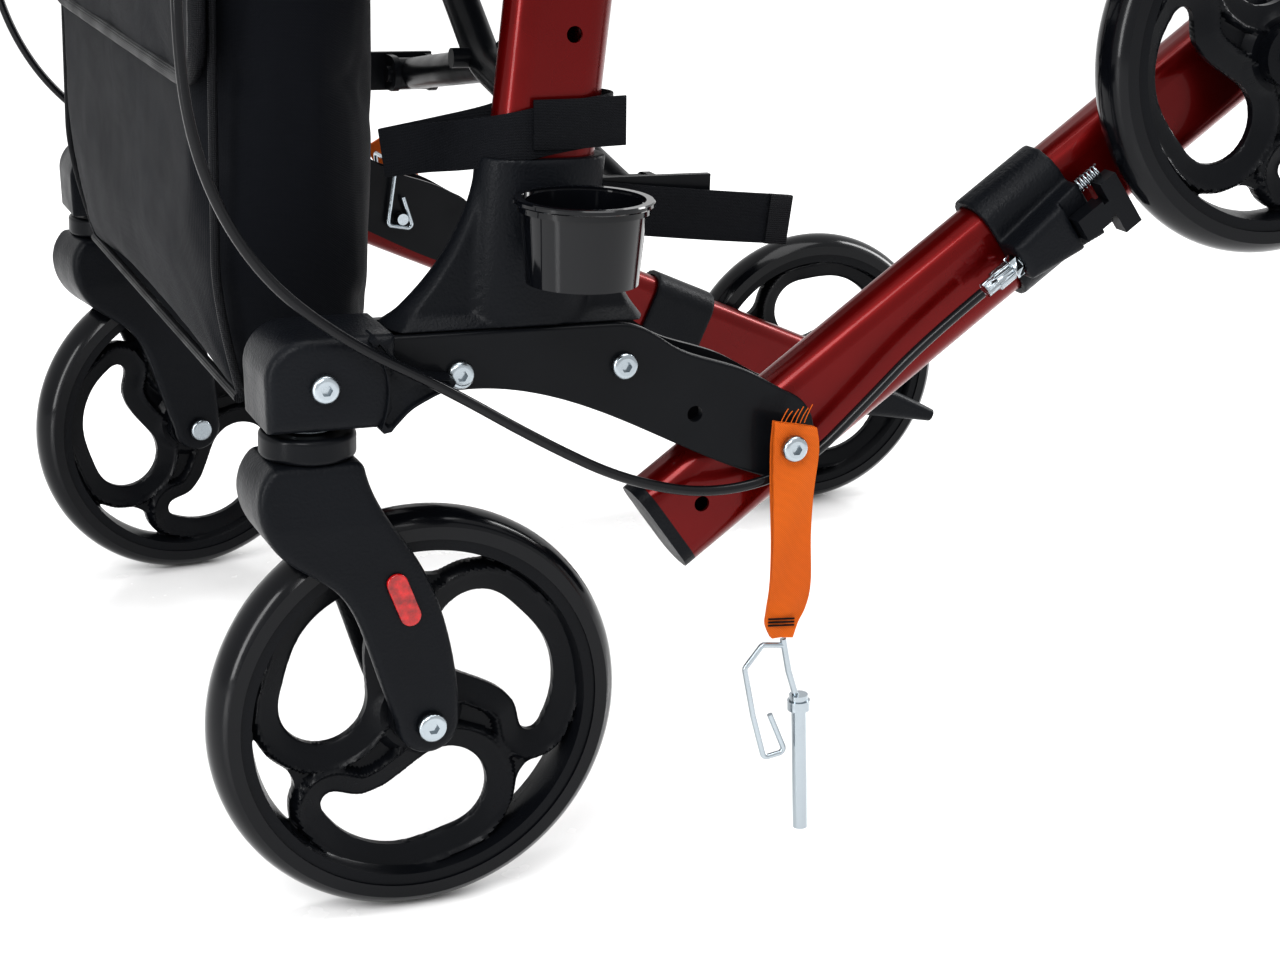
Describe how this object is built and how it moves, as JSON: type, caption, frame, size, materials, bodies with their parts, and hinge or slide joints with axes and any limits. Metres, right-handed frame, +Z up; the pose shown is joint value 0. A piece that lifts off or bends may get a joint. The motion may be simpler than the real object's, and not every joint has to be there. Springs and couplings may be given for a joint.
{
  "type": "rollator",
  "caption": "Folding four-wheeled walking frame with swivelling front wheels, folding rear legs, loop brakes, sling seat, front bag and cane cup.",
  "frame": {"origin": "on the floor, below the middle of the whole object's box", "axes": "+Z up, -Y the way it is pushed, +X the user's left"},
  "size_m": [0.6316, 0.6809, 0.8783],
  "materials": {
    "black_metal": "satin powder coat",
    "black_plastic": "fine grain",
    "red_tube": "translucent red lacquer over aluminium",
    "steel": "bright zinc plate",
    "cable_jacket": "satin",
    "reflector": "prismatic",
    "wheel_plastic": "satin moulded",
    "tyre": "smooth, glossy",
    "grip_rubber": "matt",
    "orange_webbing": "woven",
    "gloss_cup": "gloss moulded",
    "bag_fabric": "coated nylon",
    "seat_fabric": "woven nylon"
  },
  "bodies": {
    "left_frame": {"left_side_plates": "black_metal", "left_caster_housing": "black_plastic", "left_upright_socket": "black_plastic", "left_upright": "red_tube", "left_height_clamp": "black_plastic", "left_frame_bolts": "steel", "left_brace_bracket": "black_metal", "left_brake_cable": "cable_jacket", "cane_cup": "gloss_cup", "bag": "bag_fabric"},
    "left_caster": {"left_caster_fork": "black_plastic", "left_caster_stem": "black_metal", "left_fork_reflector": "reflector", "left_front_axle": "steel"},
    "left_front_wheel": {"left_front_rim": "wheel_plastic", "left_front_tyre": "tyre"},
    "left_rear_wheel": {"left_rear_rim": "wheel_plastic", "left_rear_tyre": "tyre"},
    "left_handle": {"left_handle_tube": "black_metal", "left_hand_grip": "grip_rubber", "left_lever_housing": "black_plastic"},
    "left_lever": {"left_brake_lever": "black_metal"},
    "left_brake_arm": {"left_brake_block": "steel"},
    "right_frame": {"right_side_plates": "black_metal", "right_caster_housing": "black_plastic", "right_upright_socket": "black_plastic", "right_upright": "red_tube", "right_height_clamp": "black_plastic", "right_frame_bolts": "steel", "right_brace_bracket": "black_metal", "right_brake_cable": "cable_jacket", "right_rear_leg": "red_tube", "right_leg_end_caps": "black_plastic", "right_brake_sleeve": "black_plastic", "right_rear_axle": "steel", "right_lock_pin": "steel", "right_pull_strap": "orange_webbing"},
    "right_caster": {"right_caster_fork": "black_plastic", "right_caster_stem": "black_metal", "right_fork_reflector": "reflector", "right_front_axle": "steel"},
    "right_front_wheel": {"right_front_rim": "wheel_plastic", "right_front_tyre": "tyre"},
    "right_rear_wheel": {"right_rear_rim": "wheel_plastic", "right_rear_tyre": "tyre"},
    "right_handle": {"right_handle_tube": "black_metal", "right_hand_grip": "grip_rubber", "right_lever_housing": "black_plastic"},
    "right_lever": {"right_brake_lever": "black_metal"},
    "right_brake_arm": {"right_brake_block": "steel"},
    "left_leg": {"left_rear_leg": "red_tube", "left_leg_end_caps": "black_plastic", "left_brake_sleeve": "black_plastic", "left_rear_axle": "steel"},
    "left_strap": {"left_pull_strap": "orange_webbing"},
    "left_pin": {"left_lock_pin": "steel"},
    "front_brace": {"front_brace": "black_metal"},
    "rear_brace": {"rear_brace": "black_metal", "seat": "seat_fabric"}
  },
  "joints": [
    {"name": "frame_fold", "type": "slide", "parent": "left_frame", "child": "right_frame", "axis": [1, 0, 0], "range_m": [0, 0.2], "deforming": ["bag", "seat"]},
    {"name": "front_brace_turn", "type": "hinge", "parent": "left_frame", "child": "front_brace", "pos_m": [0.19325, -0.11014, 0.332], "axis": [0, 1, 0], "range_deg": [0, 48.6]},
    {"name": "rear_brace_turn", "type": "hinge", "parent": "right_frame", "child": "rear_brace", "pos_m": [-0.22275, -0.08714, 0.332], "axis": [0, -1, 0], "range_deg": [0, 48.6]},
    {"name": "left_caster_swivel", "type": "hinge", "parent": "left_frame", "child": "left_caster", "pos_m": [0.23725, -0.27614, 0.24], "axis": [0, 0, 1], "continuous": true},
    {"name": "left_front_wheel_spin", "type": "hinge", "parent": "left_caster", "child": "left_front_wheel", "pos_m": [0.23653, -0.22484, 0.1], "axis": [0.9999, 0.014, 0], "continuous": true},
    {"name": "left_rear_wheel_spin", "type": "hinge", "parent": "left_leg", "child": "left_rear_wheel", "pos_m": [0.26625, 0.20406, 0.4049], "axis": [1, 0, 0], "continuous": true},
    {"name": "left_handle_height", "type": "slide", "parent": "left_frame", "child": "left_handle", "axis": [0, 0.0924, 0.9957], "range_m": [-0.06, 0.05]},
    {"name": "left_lever_squeeze", "type": "hinge", "parent": "left_handle", "child": "left_lever", "pos_m": [0.22825, -0.06929, 0.82592], "axis": [1, 0, 0], "range_deg": [0, 12], "stiffness_Nm_per_rad": 1.5, "springref_deg": -8.59},
    {"name": "left_brake_press", "type": "hinge", "parent": "left_leg", "child": "left_brake_arm", "pos_m": [0.25745, 0.10914, 0.32471], "axis": [1, 0, 0], "range_deg": [0, 5]},
    {"name": "right_caster_swivel", "type": "hinge", "parent": "right_frame", "child": "right_caster", "pos_m": [-0.26675, -0.27614, 0.24], "axis": [0, 0, 1], "continuous": true},
    {"name": "right_front_wheel_spin", "type": "hinge", "parent": "right_caster", "child": "right_front_wheel", "pos_m": [-0.27477, -0.22547, 0.1], "axis": [0.9877, 0.1564, 0], "continuous": true},
    {"name": "right_rear_wheel_spin", "type": "hinge", "parent": "right_frame", "child": "right_rear_wheel", "pos_m": [-0.29575, 0.24049, 0.10002], "axis": [1, 0, 0], "continuous": true},
    {"name": "right_handle_height", "type": "slide", "parent": "right_frame", "child": "right_handle", "axis": [0, 0.0924, 0.9957], "range_m": [-0.06, 0.05], "deforming": ["right_brake_cable"]},
    {"name": "right_lever_squeeze", "type": "hinge", "parent": "right_handle", "child": "right_lever", "pos_m": [-0.25775, -0.06929, 0.82592], "axis": [1, 0, 0], "range_deg": [0, 12], "stiffness_Nm_per_rad": 1.5, "springref_deg": -8.59},
    {"name": "right_brake_press", "type": "hinge", "parent": "right_frame", "child": "right_brake_arm", "pos_m": [-0.28695, 0.12313, 0.14084], "axis": [1, 0, 0], "range_deg": [0, 5]},
    {"name": "left_leg_fold", "type": "hinge", "parent": "left_frame", "child": "left_leg", "pos_m": [0.22825, -0.04514, 0.2205], "axis": [1, 0, 0], "range_deg": [-59.37, 24], "deforming": ["left_brake_cable"]},
    {"name": "left_strap_swing", "type": "hinge", "parent": "left_frame", "child": "left_strap", "pos_m": [0.25825, -0.04514, 0.2205], "axis": [1, 0, 0], "range_deg": [-20, 40]},
    {"name": "left_pin_swing", "type": "hinge", "parent": "left_strap", "child": "left_pin", "pos_m": [0.25825, -0.04314, 0.121], "axis": [1, 0, 0], "range_deg": [-15, 15]}
  ],
  "couplings": [
    {"joint": "front_brace_turn", "follows": "frame_fold", "rad_per_m": 4.2324},
    {"joint": "rear_brace_turn", "follows": "frame_fold", "rad_per_m": 4.2324},
    {"joint": "left_brake_press", "follows": "left_lever_squeeze", "ratio": 0.41},
    {"joint": "right_brake_press", "follows": "right_lever_squeeze", "ratio": 0.41}
  ]
}
